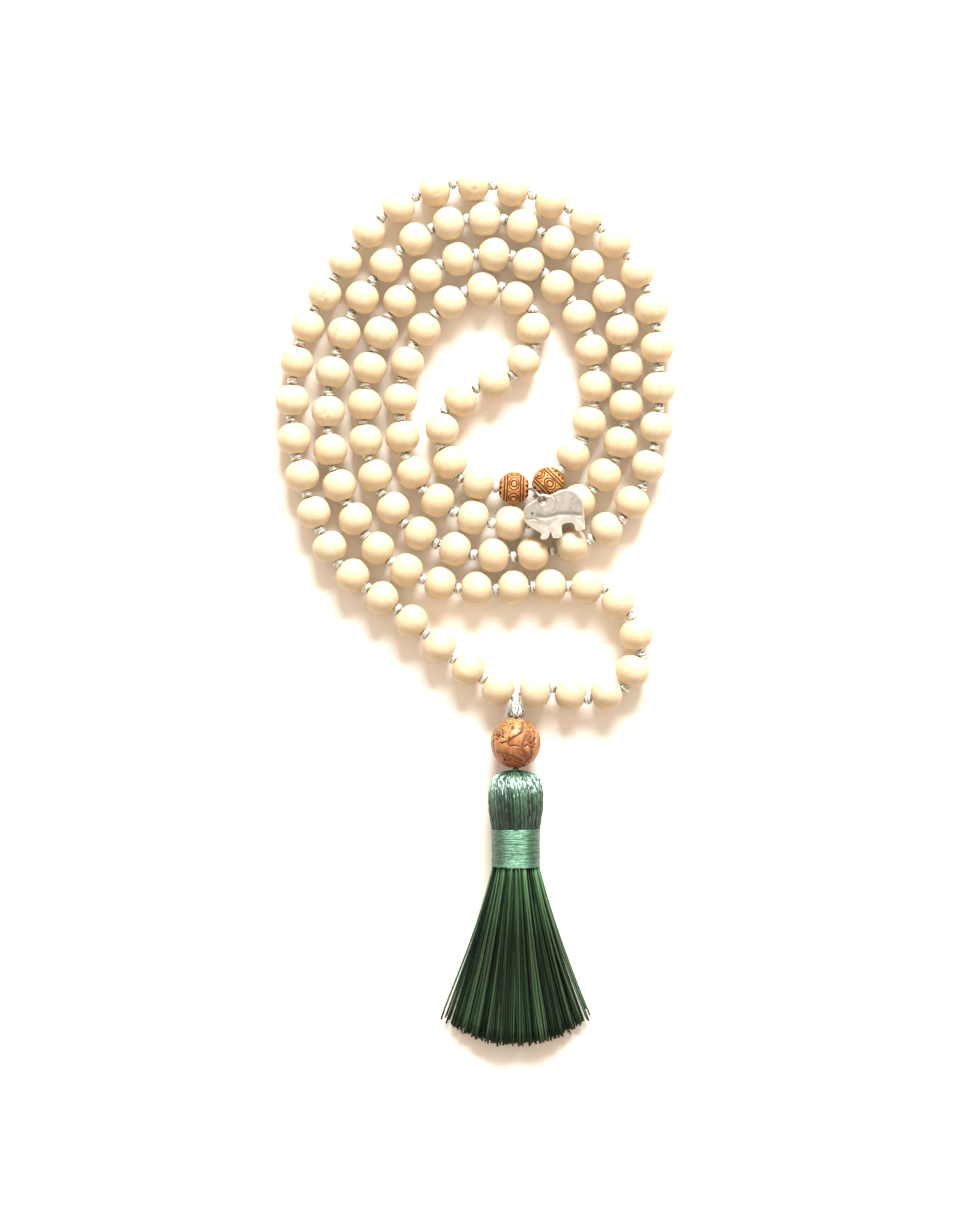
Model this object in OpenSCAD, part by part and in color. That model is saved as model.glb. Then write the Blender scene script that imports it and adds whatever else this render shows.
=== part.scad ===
// Knotted prayer-bead string (mala) laid flat in a double spiral: wood beads with a knot after each,
// two carved beads, a flat elephant charm, a large guru bead and a bound tassel.
// Millimetres. +Z is up off the table, +Y runs from the tassel to the top of the loop.

/* [Wood beads] */
// Outside diameter of a wood bead across the string
bead_d = 7.8; // [7.2:0.1:7.8]
// Length of a wood bead along the string
bead_len = 6.2; // [5.4:0.1:6.2]
// Diameter of the hole through a wood bead
bead_bore = 1.4; // [1.2:0.1:1.8]
// Radius of the hollow that each bead end has for its knot
knot_seat_r = 1.6; // [1.5:0.05:1.8]

/* [String and knots] */
// Diameter of the stringing cord
cord_d = 0.8; // [0.5:0.05:0.9]
// Diameter of a spacer knot
knot_d = 2.7; // [2.2:0.1:2.7]
// Length of a spacer knot along the string
knot_len = 1.7; // [1.2:0.1:1.8]
// Diameter of the gathering knot above the guru bead
gather_d = 3.5; // [3.0:0.1:3.6]

/* [Carved beads] */
// Outside diameter of a carved bead
carved_d = 7.2; // [6.8:0.1:7.3]
// Depth of the turned grooves on a carved bead
groove_depth = 0.2; // [0.1:0.05:0.3]

/* [Guru bead] */
// Diameter of the guru bead
guru_d = 11.1; // [9.5:0.1:11.1]
// Diameter of the hole through the guru bead
guru_bore = 1.4; // [1.2:0.1:1.8]

/* [Elephant charm] */
// Thickness of the charm plate
charm_t = 0.8; // [0.5:0.1:0.8]
// Diameter of the hole in the charm's tab
charm_hole = 1.4; // [1.3:0.05:1.45]
// Depth of the lines cut in the charm's face
charm_cut = 0.2; // [0.1:0.05:0.3]

/* [Tassel] */
// Widest diameter of the tassel head
head_d = 12.4; // [11.0:0.2:12.4]
// Length of the tassel head
head_len = 13.0; // [12.0:0.5:13.0]
// Diameter of the wound binding
bind_d = 11.0; // [10.0:0.2:11.2]
// Length of the wound binding
bind_len = 8.3; // [6.0:0.1:9.0]
// Length of the skirt of strands at its middle
skirt_len = 40.0; // [30.0:0.5:45.0]
// Width of the skirt at its free end
skirt_w = 32.0; // [24.0:0.5:36.0]

/* [Hidden] */
$fn = 64;
bead_r = bead_d / 2;
cord_r = cord_d / 2;
seat_at = 4.1; // a knot's distance from the middle of its bead
carved_z = 3.62; // height of the carved beads' holes

// Where the string is knotted, as [knots from the start of the strand, x, y]; knots between two
// rows lie on a smooth curve. The left strand runs from the gathering knot to the charm.
left_route = [
    [0, 8.3, -20.5], [2, -5, -11.5], [4, -17.5, -0.5], [6, -30.5, 9.5], [8, -37.5, 25],
    [10, -41, 41.5], [12, -39, 58.5], [14, -31.5, 73], [16, -21, 86.5], [18, -5, 94],
    [20, 12.5, 91.5], [22, 28, 84], [24, 38, 70.5], [26, 40.5, 53], [28, 39.5, 35.5],
    [30, 32.5, 19.5], [32, 17, 12.5], [34, -0.5, 11.5], [36, -16, 18.5], [38, -24, 33],
    [40, -24.5, 49], [42, -19.5, 64.5], [44, -8, 76], [46, 8, 78], [48, 21, 68],
    [50, 26.5, 53], [52, 24, 37], [54, 13, 24.5]
];
// The right strand runs on from the charm, back to the gathering knot.
right_route = [
    [0, 12.3, 26.2], [1, 4.5, 26.5], [2, -3.5, 28.5], [3, -8, 35.5], [4, -7, 43.5],
    [5, 0, 48.5], [6, 8, 51.5], [7, 13, 57.5], [8, 12.5, 66], [9, 5.5, 71], [10, -2.5, 70],
    [12, -14, 58], [14, -17, 42], [16, -12, 26], [18, 3.5, 18.5], [20, 19.5, 21],
    [22, 31, 32.5], [24, 33.5, 49], [26, 31.5, 65.5], [28, 22, 78.5], [30, 6, 86],
    [32, -10, 84], [34, -23, 72.5], [36, -31, 56.5], [38, -33, 39], [40, -29, 23],
    [42, -19, 10], [44, -4, 4], [46, 12.5, 4.5], [47, 20.5, 4.5], [48, 28.5, 4],
    [49, 34.5, -2], [50, 36.5, -10.5], [51, 33, -18], [52, 25, -20.5], [53, 17, -18],
    [54, 9.2, -19.5]
];
strand_beads = 54;
outer_beads = 33; // beads of the left strand that lie on the outer turn
single_beads = 42; // wood beads that are parts of their own, from the carved bead onwards

// Smooth curve through the rows of a route, one point per knot
function pt(row) = [row[1], row[2]];
function slope(r, i) =
    i == 0 ? (pt(r[1]) - pt(r[0])) / (r[1][0] - r[0][0])
    : i == len(r) - 1 ? (pt(r[i]) - pt(r[i - 1])) / (r[i][0] - r[i - 1][0])
    : let (a = r[i][0] - r[i - 1][0], b = r[i + 1][0] - r[i][0])
        ((pt(r[i + 1]) - pt(r[i])) / b * a + (pt(r[i]) - pt(r[i - 1])) / a * b) / (a + b);
function curve(r, i, k) =
    let (h = r[i + 1][0] - r[i][0], t = k / h)
    (2 * pow(t, 3) - 3 * t * t + 1) * pt(r[i]) + (pow(t, 3) - 2 * t * t + t) * h * slope(r, i)
    + (3 * t * t - 2 * pow(t, 3)) * pt(r[i + 1]) + (pow(t, 3) - t * t) * h * slope(r, i + 1);
function knots_of(r) = concat(
    [for (i = [0:len(r) - 2]) for (k = [0:r[i + 1][0] - r[i][0] - 1]) curve(r, i, k)],
    [pt(r[len(r) - 1])]
);
left_knots = knots_of(left_route);
right_knots = knots_of(right_route);
function heading(a, b) = atan2(b[1] - a[1], b[0] - a[0]);

// Pendant line below the gathering knot
pend_x = 8.8;
gather_c = [pend_x, -22.75, 4.9];
guru_c = [pend_x, gather_c[1] - gather_d / 2 - 0.25 - guru_d / 2, guru_d / 2];
tie_c = [pend_x, guru_c[1] - guru_d / 2 - 0.25, (guru_d + head_d) / 4];
tie_r = 0.85;
tie_seat = 1.15;
guru_seat = 1.4; // the guru bead's hollow lies on its own hole, so that the bead can turn
head_y = tie_c[1] - 0.25; // top of the tassel head
bind_y = head_y - head_len;
skirt_y = bind_y - bind_len;

// Elephant charm: its tab hangs on the bare cord, which loops round the rim of the hole
rim_c = [14.1, 24.3, 8.4]; // middle of the rim that the cord loops round
charm_dir = -51; // direction from that rim to the hole, seen from above
loop_r = 1.0;
outline = [
    [-0.4, 1.45], [0.6, 1.4], [1.5, 1.1], [2.5, 1.6], [3.9, 2.25], [5.4, 2.55], [6.6, 2.35],
    [7.8, 1.5], [8.7, 0.2], [9.15, -1.4], [9.2, -4.2], [9.5, -6.2], [9.3, -6.5], [7.6, -6.85],
    [7.3, -6.6], [7.0, -5.4], [6.4, -4.9], [4.7, -5.1], [4.1, -5.7], [4.45, -7.8],
    [4.2, -8.15], [2.5, -8.5], [2.2, -8.2], [1.75, -6.6], [1.35, -8.2], [0.5, -8.8],
    [-0.4, -8.65], [-0.5, -8.2], [-0.1, -7.5], [-0.9, -6.9], [-2.3, -6.2], [-3.4, -5.3],
    [-4.1, -4.2], [-4.35, -3.0], [-4.1, -1.8], [-3.35, -0.85], [-2.2, -0.2], [-1.3, 0.4]
];
// Lines cut in the charm's face, as [x, y, length, direction]
charm_lines = [
    [2.6, 0.4, 2.8, -97], [0, -3.3, 8.4, 1.5], [-3.7, -4.1, 2.4, 0], [-1.3, -4.1, 2.6, -32]
];

// Places its child with +X along the string at bead i of a strand
module at_bead(knots, i, z = bead_r) {
    a = knots[i];
    b = knots[i + 1];
    translate([(a[0] + b[0]) / 2, (a[1] + b[1]) / 2, z])
        rotate([0, 0, heading(a, b)])
            children();
}

// A bead with flat ends, a bore along X, a hollow at each end for its knot, and turned grooves
module drilled(d, length, grooves = []) {
    rotate([0, 90, 0])
        rotate_extrude()
            difference() {
                intersection() {
                    circle(d = d);
                    translate([bead_bore / 2, -length / 2])
                        square([d, length]);
                }
                for (s = [-1, 1])
                    translate([0, s * seat_at])
                        circle(r = knot_seat_r);
                for (y = grooves)
                    translate([sqrt(d * d / 4 - y * y) + 0.3 - groove_depth, y])
                        circle(r = 0.3, $fn = 24);
            }
}

module wood_beads(knots, first, last) {
    color("#d9a860")
        for (i = [first:last])
            at_bead(knots, i)
                drilled(bead_d, bead_len);
}

// Straight cord between two points, with a slightly fuller round at each end
module run(a, b) {
    v = b - a;
    translate(a) {
        sphere(r = cord_r + 0.03);
        rotate([0, acos(v[2] / norm(v)), atan2(v[1], v[0])])
            cylinder(r = cord_r, h = norm(v));
    }
    translate(b)
        sphere(r = cord_r + 0.03);
}

// The point a distance g from a towards b
function from_to(a, b, g) = a + g * (b - a) / norm(b - a);
function at_height(p, z = bead_r) = [p[0], p[1], z];

// Cord from a to b, held back by gap_a and gap_b at its ends
module cord_length(a, b, gap_a = 0.3, gap_b = 0.3) {
    color("#55575c")
        translate(from_to(a, b, gap_a))
            rotate([0, 90, heading(a, b)])
                cylinder(r = cord_r, h = norm(b - a) - gap_a - gap_b);
}

// Cord from knot to knot, past beads first to last; each length ends inside its knots
module strand_cord(knots, first, last) {
    for (i = [first:last])
        cord_length(at_height(knots[i]), at_height(knots[i + 1]));
}

// Cord from knot k through a carved bead, out to its free end at knot e
module carved_cord(knots, k, e) {
    cord_length(at_height(knots[k], carved_z), at_height(knots[e], carved_z), 0.3, cord_r + 0.04);
}

// Spacer knots at knots first to last, each turned half way between its two beads
module spacer_knots(knots, first, last) {
    color("#8d9096")
        for (i = [first:last])
            translate([knots[i][0], knots[i][1], bead_r])
                rotate([0, 90, heading(knots[i - 1], knots[i + 1])])
                    rotate_extrude()
                        intersection() {
                            circle(d = knot_d);
                            translate([0, -knot_len / 2])
                                square([knot_d, knot_len]);
                        }
}

module stringing_cord_left() {
    strand_cord(left_knots, 0, strand_beads - 2);
    carved_cord(left_knots, strand_beads - 1, strand_beads);
}

module stringing_cord_right() {
    strand_cord(right_knots, 1, strand_beads - 1);
    carved_cord(right_knots, 1, 0);
}

// Bare cord out of one carved bead, round the rim of the charm's hole and into the other
module charm_cord() {
    a = at_height(right_knots[0], carved_z);
    b = at_height(left_knots[strand_beads], carved_z);
    over = rim_c + loop_r * [cos(200) * cos(charm_dir), cos(200) * sin(charm_dir), sin(200)];
    color("#55575c") {
        run(a, over);
        run(rim_c - [0, 0, loop_r], b);
        translate(rim_c)
            rotate([90, 0, charm_dir])
                rotate([0, 0, -90])
                    rotate_extrude(angle = 290)
                        translate([loop_r, 0])
                            circle(r = cord_r);
    }
}

module spacer_knots_left() {
    spacer_knots(left_knots, 1, strand_beads - 1);
}

module spacer_knots_right() {
    spacer_knots(right_knots, 1, strand_beads - 1);
}

module gathering_knot() {
    color("#a9acb1")
        translate(gather_c)
            sphere(d = gather_d);
}

module guru_cord() {
    top = gather_c[1] - gather_d / 2 - 0.1;
    bottom = tie_c[1] + tie_r + 0.15;
    color("#55575c")
        translate([pend_x, top, guru_c[2]])
            rotate([90, 0, 0])
                cylinder(r = cord_r, h = top - bottom);
}

module guru_bead() {
    color("#b5713d")
        difference() {
            translate(guru_c)
                sphere(d = guru_d);
            translate(guru_c)
                rotate([90, 0, 0])
                    cylinder(d = guru_bore, h = guru_d + 2, center = true);
            translate([tie_c[0], tie_c[1], guru_c[2]])
                sphere(r = guru_seat);
        }
}

module tassel_tie() {
    color("#3f7a5c")
        translate(tie_c)
            sphere(r = tie_r);
}

// Turned solids of the tassel lie along -Y from y, about the head's axis
module along_tassel(y) {
    translate([pend_x, y, head_d / 2])
        rotate([90, 0, 0])
            children();
}

module tassel_head() {
    r = head_d / 2;
    neck = bind_d / 2 - 0.2;
    color("#2c6a4c")
        difference() {
            intersection() {
                along_tassel(head_y)
                    translate([0, 0, r + 0.6])
                        union() {
                            sphere(r = r);
                            translate([0, 0, r * 0.45])
                                cylinder(r1 = r * 0.893, r2 = neck, h = head_len - 1.45 * r - 0.6);
                        }
                translate([pend_x, head_y - head_len / 2, r])
                    cube([head_d + 1, head_len, head_d + 1], center = true);
            }
            translate(tie_c)
                sphere(r = tie_seat);
        }
}

module tassel_binding() {
    color("#4f9672")
        along_tassel(bind_y)
            cylinder(d = bind_d, h = bind_len);
}

// The skirt is the overlap of its outline from above and its outline from the side
module tassel_skirt() {
    r = bind_d / 2;
    w = skirt_w / 2;
    l = skirt_len;
    z = head_d / 2;
    color("#1f5a3e")
        translate([pend_x, skirt_y, 0])
            intersection() {
                intersection() {
                    linear_extrude(height = head_d)
                        polygon([
                            [-r, 0], [r, 0], [r + 0.22 * (w - r), -0.3 * l],
                            [r + 0.6 * (w - r), -0.64 * l], [w, -l], [-w, -l],
                            [-r - 0.6 * (w - r), -0.64 * l], [-r - 0.22 * (w - r), -0.3 * l]
                        ]);
                    translate([0, -0.1 * l, -1])
                        cylinder(r = 0.9 * l, h = head_d + 2);
                }
                rotate([90, 0, 90])
                    linear_extrude(height = 2 * skirt_w, center = true)
                        polygon([
                            [0, z - r], [0, z + r], [-0.3 * l, z + 0.85 * r],
                            [-0.64 * l, z + 0.45 * r], [-l, z - 0.1 * r], [-l, 0],
                            [-0.3 * l, 0], [-0.12 * l, (z - r) / 2]
                        ]);
            }
}

// Carved bead: a drilled bead with two pairs of turned grooves
module carved(knots, i) {
    color("#c47b36")
        at_bead(knots, i, carved_z)
            drilled(carved_d, bead_len, [-2.3, -1.5, 1.5, 2.3]);
}

module carved_bead_left() {
    carved(right_knots, 0);
}

module carved_bead_right() {
    carved(left_knots, strand_beads - 1);
}

module elephant_charm() {
    hole = [rim_c[0] + loop_r * cos(charm_dir), rim_c[1] + loop_r * sin(charm_dir)];
    color("#c9cbce")
        translate([hole[0], hole[1], rim_c[2] - 0.4])
            difference() {
                linear_extrude(height = charm_t)
                    difference() {
                        polygon(outline);
                        circle(d = charm_hole);
                    }
                for (c = charm_lines)
                    translate([c[0], c[1], charm_t - charm_cut])
                        rotate([0, 0, c[3]])
                            translate([0, -0.15, 0])
                                cube([c[2], 0.3, 1]);
                translate([-2.2, -2.9, charm_t])
                    sphere(r = 0.35);
            }
}

module wood_beads_left_outer() {
    wood_beads(left_knots, 0, outer_beads - 1);
}

module wood_beads_left_inner() {
    wood_beads(left_knots, outer_beads, strand_beads - 2);
}

module wood_beads_right_end() {
    wood_beads(right_knots, single_beads + 1, strand_beads - 1);
}

function bead_node(i) = str("wood_bead_", i < 10 ? "0" : "", i);

stringing_cord_left();
stringing_cord_right();
charm_cord();
spacer_knots_left();
spacer_knots_right();
gathering_knot();
guru_cord();
guru_bead();
tassel_tie();
tassel_head();
tassel_binding();
tassel_skirt();
carved_bead_left();
carved_bead_right();
elephant_charm();
wood_beads_left_outer();
wood_beads_left_inner();
wood_beads_right_end();
for (i = [1:single_beads])
    wood_beads(right_knots, i, i);
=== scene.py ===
import math

import bpy
import numpy as np
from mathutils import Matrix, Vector, geometry


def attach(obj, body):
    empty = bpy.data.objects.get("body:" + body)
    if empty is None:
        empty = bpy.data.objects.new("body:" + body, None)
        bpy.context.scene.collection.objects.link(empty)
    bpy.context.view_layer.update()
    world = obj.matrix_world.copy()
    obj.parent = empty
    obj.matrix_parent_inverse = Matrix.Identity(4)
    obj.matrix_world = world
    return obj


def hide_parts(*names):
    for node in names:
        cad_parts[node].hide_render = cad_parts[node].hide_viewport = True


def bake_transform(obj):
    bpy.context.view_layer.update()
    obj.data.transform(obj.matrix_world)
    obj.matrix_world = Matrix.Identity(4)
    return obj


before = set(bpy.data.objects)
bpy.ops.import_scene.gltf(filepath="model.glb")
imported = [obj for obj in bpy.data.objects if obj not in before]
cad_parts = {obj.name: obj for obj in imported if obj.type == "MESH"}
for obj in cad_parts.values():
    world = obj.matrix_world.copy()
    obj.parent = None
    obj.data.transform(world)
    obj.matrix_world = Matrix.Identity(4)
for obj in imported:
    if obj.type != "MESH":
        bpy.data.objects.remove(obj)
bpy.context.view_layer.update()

MM = 0.001
TAU = 2 * math.pi

# ---------------- layout, in millimetres
# Where the string is knotted, as in the CAD: [knots from the start of the strand, x, y].
LEFT_ROUTE = [
    (0, 8.3, -20.5), (2, -5, -11.5), (4, -17.5, -0.5), (6, -30.5, 9.5), (8, -37.5, 25),
    (10, -41, 41.5), (12, -39, 58.5), (14, -31.5, 73), (16, -21, 86.5), (18, -5, 94),
    (20, 12.5, 91.5), (22, 28, 84), (24, 38, 70.5), (26, 40.5, 53), (28, 39.5, 35.5),
    (30, 32.5, 19.5), (32, 17, 12.5), (34, -0.5, 11.5), (36, -16, 18.5), (38, -24, 33),
    (40, -24.5, 49), (42, -19.5, 64.5), (44, -8, 76), (46, 8, 78), (48, 21, 68),
    (50, 26.5, 53), (52, 24, 37), (54, 13, 24.5),
]
RIGHT_ROUTE = [
    (0, 12.3, 26.2), (1, 4.5, 26.5), (2, -3.5, 28.5), (3, -8, 35.5), (4, -7, 43.5),
    (5, 0, 48.5), (6, 8, 51.5), (7, 13, 57.5), (8, 12.5, 66), (9, 5.5, 71), (10, -2.5, 70),
    (12, -14, 58), (14, -17, 42), (16, -12, 26), (18, 3.5, 18.5), (20, 19.5, 21),
    (22, 31, 32.5), (24, 33.5, 49), (26, 31.5, 65.5), (28, 22, 78.5), (30, 6, 86),
    (32, -10, 84), (34, -23, 72.5), (36, -31, 56.5), (38, -33, 39), (40, -29, 23),
    (42, -19, 10), (44, -4, 4), (46, 12.5, 4.5), (47, 20.5, 4.5), (48, 28.5, 4),
    (49, 34.5, -2), (50, 36.5, -10.5), (51, 33, -18), (52, 25, -20.5), (53, 17, -18),
    (54, 9.2, -19.5),
]
STRAND = 54  # beads on each strand, with its carved one
SINGLES = 42  # wood beads that have a body of their own, from the charm along the right strand
OUTER = 33  # beads of the left strand that are in its outer group
BEAD_Z, CARVED_Z = 3.9, 3.62  # heights of the beads' middles
STRING_R = 0.42
PEND_X = 8.8  # the pendant lies along -Y from here
GATHER = np.array([PEND_X, -22.75, 4.9])
GURU = np.array([PEND_X, -30.3, 5.55])
TIE = np.array([PEND_X, -36.1, 5.875])
HEAD_Y, BIND_Y, SKIRT_Y = -36.35, -49.35, -57.65
TASSEL_Z = 6.2
RIM = np.array([14.1, 24.3, 8.4])  # where the cord bears on the charm's hole
CHARM_DIR = math.radians(-51)


def knots_of(route):
    """One point per knot, on a smooth curve through the rows of a route."""
    at = [row[0] for row in route]
    p = [np.array(row[1:], float) for row in route]
    last = len(route) - 1
    slopes = []
    for i in range(last + 1):
        if i in (0, last):
            j = max(i, 1)
            slopes.append((p[j] - p[j - 1]) / (at[j] - at[j - 1]))
        else:
            back, on = at[i] - at[i - 1], at[i + 1] - at[i]
            slopes.append(((p[i + 1] - p[i]) / on * back + (p[i] - p[i - 1]) / back * on) / (back + on))
    out = []
    for i in range(last):
        h = at[i + 1] - at[i]
        for k in range(h):
            u = k / h
            out.append(
                (2 * u**3 - 3 * u * u + 1) * p[i]
                + (u**3 - 2 * u * u + u) * h * slopes[i]
                + (3 * u * u - 2 * u**3) * p[i + 1]
                + (u**3 - u * u) * h * slopes[i + 1]
            )
    out.append(p[-1])
    return np.array(out)


LEFT, RIGHT = knots_of(LEFT_ROUTE), knots_of(RIGHT_ROUTE)


def unit(v):
    v = np.asarray(v, float)
    return v / max(np.linalg.norm(v), 1e-9)


def smooth(t):
    """0 to 1 with a soft start and end."""
    t = np.clip(t, 0, 1)
    return t * t * (3 - 2 * t)


# ---------------- mesh helpers


def make_mesh(name, verts, faces, material, body, attributes, node):
    """A piece from points in millimetres in the row frame, in place of a CAD node, if there is one for it.
    attributes: name -> per-point floats or vectors."""
    me = bpy.data.meshes.new(name)
    verts = np.asarray(verts, float) * MM
    me.from_pydata(verts.tolist(), [], faces if isinstance(faces, list) else faces.tolist())
    for key, values in attributes.items():
        values = np.asarray(values, np.float32)
        vector = values.ndim == 2
        layer = me.attributes.new(key, "FLOAT_VECTOR" if vector else "FLOAT", "POINT")
        layer.data.foreach_set("vector" if vector else "value", values.ravel())
    me.validate()
    me.update()
    me.polygons.foreach_set("use_smooth", [True] * len(me.polygons))
    me.materials.append(material)
    ob = bpy.data.objects.new(name, me)
    bpy.context.scene.collection.objects.link(ob)
    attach(ob, body)
    if node:
        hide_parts(node)
    return ob


def grid_faces(rows, cols, close_rows=False):
    """Quads over a grid of points whose rows close on themselves."""
    r = np.arange(rows if close_rows else rows - 1)
    rr, cc = np.meshgrid(r, np.arange(cols), indexing="ij")
    r2, c2 = (rr + 1) % rows, (cc + 1) % cols
    return np.stack([rr * cols + cc, rr * cols + c2, r2 * cols + c2, r2 * cols + cc], -1).reshape(-1, 4)


def round_x(x, out, ang):
    """Points out from the X axis at an angle."""
    return np.stack(np.broadcast_arrays(x, out * np.cos(ang), out * np.sin(ang)), -1)


def placed(local, centre, axis, turn=0.0):
    """Points of a bead whose string runs along X, moved to centre, with X along axis and turned about it."""
    u = unit([*axis, 0])
    v = np.array([-u[1], u[0], 0]) * math.cos(turn) + np.array([0, 0, 1.0]) * math.sin(turn)
    w = np.cross(u, v)
    return np.asarray(centre) + local[:, :1] * u + local[:, 1:2] * v + local[:, 2:] * w


def curve_through(points, steps=12):
    """A smooth line through the points."""
    p = [np.asarray(q, float) for q in points]
    p = [2 * p[0] - p[1], *p, 2 * p[-1] - p[-2]]
    out = []
    for a, b, c, d in zip(p[:-3], p[1:-2], p[2:-1], p[3:], strict=True):
        for k in range(steps):
            t = k / steps
            square = (2 * a - 5 * b + 4 * c - d) * t * t
            cube = (3 * b - a - 3 * c + d) * t**3
            out.append(0.5 * (2 * b + (c - a) * t + square + cube))
    out.append(p[-2])
    return np.array(out)


def normals_along(points):
    """A steady pair of unit normals along each of a stack of lines, shape (lines, points, 3)."""
    tan = np.gradient(points, axis=1)
    tan /= np.linalg.norm(tan, axis=2, keepdims=True) + 1e-12
    ref = np.zeros_like(tan[:, 0])
    ref[:, 2] = 1
    upright = np.abs(tan[:, 0, 2]) > 0.9
    ref[upright] = (1, 0, 0)
    n = np.cross(tan[:, 0], ref)
    n /= np.linalg.norm(n, axis=1, keepdims=True)
    normals = np.empty_like(tan)
    for k in range(points.shape[1]):
        n = n - (n * tan[:, k]).sum(1, keepdims=True) * tan[:, k]
        n /= np.linalg.norm(n, axis=1, keepdims=True) + 1e-12
        normals[:, k] = n
    return normals, np.cross(tan, normals)


def tubes(points, radius, sides, twist=0.0, depth=0.0):
    """Closed tubes along a stack of lines (lines, points, 3). radius is a number or (lines, points). A depth
    above 0 gives them three plies that twist along. Returns verts, faces and, for each point, how far along
    it is in mm, and the angle round it."""
    points = np.asarray(points, float)
    if points.ndim == 2:
        points = points[None]
    m, n, _ = points.shape
    a, b = normals_along(points)
    steps = np.linalg.norm(np.diff(points, axis=1), axis=2)
    along = np.concatenate([np.zeros((m, 1)), np.cumsum(steps, axis=1)], 1)
    th = np.arange(sides) / sides * TAU
    rad = np.broadcast_to(np.asarray(radius, float), (m, n))[..., None] * np.ones(sides)
    if depth:
        rad = rad * (1 - depth + depth * np.cos(3 * th[None, None] + twist * along[..., None]))
    across = np.cos(th)[None, None, :, None] * a[:, :, None] + np.sin(th)[None, None, :, None] * b[:, :, None]
    ring = points[:, :, None] + rad[..., None] * across
    faces = (grid_faces(n, sides)[None] + (np.arange(m) * n * sides)[:, None, None]).reshape(-1, 4).tolist()
    for i in range(m):
        start, end = i * n * sides, (i * n + n - 1) * sides
        faces.append(list(range(start + sides - 1, start - 1, -1)))
        faces.append(list(range(end, end + sides)))
    return ring.reshape(-1, 3), faces, np.repeat(along.reshape(-1), sides), np.tile(th, m * n)


def strands(points, radius, sides, ids=(0,), **plies):
    """tubes() with what the thread materials read: verts, faces and lay, (along mm, angle, the line's id)."""
    verts, faces, along, angle = tubes(points, radius, sides, **plies)
    own = np.repeat(np.asarray(ids, float), len(verts) // len(ids))
    return verts, faces, np.stack([along, angle, own], -1)


def joined(parts):
    """One set of verts, faces and lay from several."""
    faces, count = [], 0
    for verts, more, _ in parts:
        faces += [[j + count for j in face] for face in more]
        count += len(verts)
    return np.concatenate([q[0] for q in parts]), faces, np.concatenate([q[2] for q in parts])


def add_strands(name, parts, material, body):
    """A piece from parts made by strands(), in place of the CAD node of its name."""
    verts, faces, lay = joined(parts)
    make_mesh(name, verts, faces, material, body, {"lay": lay}, name)


def add_cord(name, line, radius, material, body):
    add_strands(name, [strands(line, radius, 10, twist=4.0, depth=0.12)], material, body)


# ---------------- material helpers


class Shader:
    """Builds one node material: each method adds a node and returns its output."""

    def __init__(self, name):
        self.mat = bpy.data.materials.new(name)
        self.mat.use_nodes = True
        self.tree = self.mat.node_tree
        self.tree.nodes.clear()
        out = self.tree.nodes.new("ShaderNodeOutputMaterial")
        self.bsdf = self.tree.nodes.new("ShaderNodeBsdfPrincipled")
        self.tree.links.new(self.bsdf.outputs[0], out.inputs[0])

    def put(self, socket, value):
        if isinstance(value, bpy.types.NodeSocket):
            self.tree.links.new(value, socket)
        else:
            if isinstance(value, tuple) and socket.type == "RGBA":
                value = (*value, 1)
            socket.default_value = value

    def node(self, kind, **inputs):
        n = self.tree.nodes.new("ShaderNode" + kind)
        for key, value in inputs.items():
            self.put(n.inputs[key], value)
        return n

    def finish(self, **inputs):
        """Sets the shader's inputs, such as Base_Color, and returns the material."""
        for key, value in inputs.items():
            self.put(self.bsdf.inputs[key.replace("_", " ")], value)
        return self.mat

    def attribute(self, name, vector=False):
        n = self.node("Attribute")
        n.attribute_name = name
        return n.outputs["Vector" if vector else "Fac"]

    def split(self, vector):
        return self.node("SeparateXYZ", Vector=vector).outputs

    def noise(self, vector, scale, detail=3, rough=0.55, distortion=0.0):
        """scale is a number, or one for each axis."""
        if isinstance(scale, tuple):
            vector = self.node("Mapping", Vector=vector, Scale=scale).outputs[0]
            scale = 1.0
        n = self.node("TexNoise", Vector=vector, Scale=scale, Detail=detail, Roughness=rough)
        self.put(n.inputs["Distortion"], distortion)
        return n.outputs["Fac"]

    def math(self, op, a, b=0.0, clamp=False):
        n = self.node("Math")
        n.operation = op
        n.use_clamp = clamp
        self.put(n.inputs[0], a)
        self.put(n.inputs[1], b)
        return n.outputs[0]

    def add(self, a, b, clamp=False):
        return self.math("ADD", a, b, clamp)

    def times(self, a, b):
        return self.math("MULTIPLY", a, b)

    def remap(self, value, a, b, c=0.0, d=1.0):
        """a to b in value becomes c to d."""
        n = self.node("MapRange")
        for i, v in enumerate((value, a, b, c, d)):
            self.put(n.inputs[i], v)
        return n.outputs[0]

    def mix(self, fac, a, b, kind="MIX"):
        n = self.node("Mix")
        n.data_type = "RGBA"
        n.blend_type = kind
        for i, v in ((0, fac), (6, a), (7, b)):
            self.put(n.inputs[i], v)
        return n.outputs[2]

    def ramp(self, fac, stops):
        n = self.node("ValToRGB", Fac=fac)
        el = n.color_ramp.elements
        while len(el) < len(stops):
            el.new(0.5)
        for e, (at, colour) in zip(el, stops, strict=True):
            e.position = at
            e.color = (*colour, 1)
        return n.outputs[0]

    def bump(self, height, strength, distance):
        return self.node("Bump", Strength=strength, Distance=distance, Height=height).outputs[0]


# ---------------- materials


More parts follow.
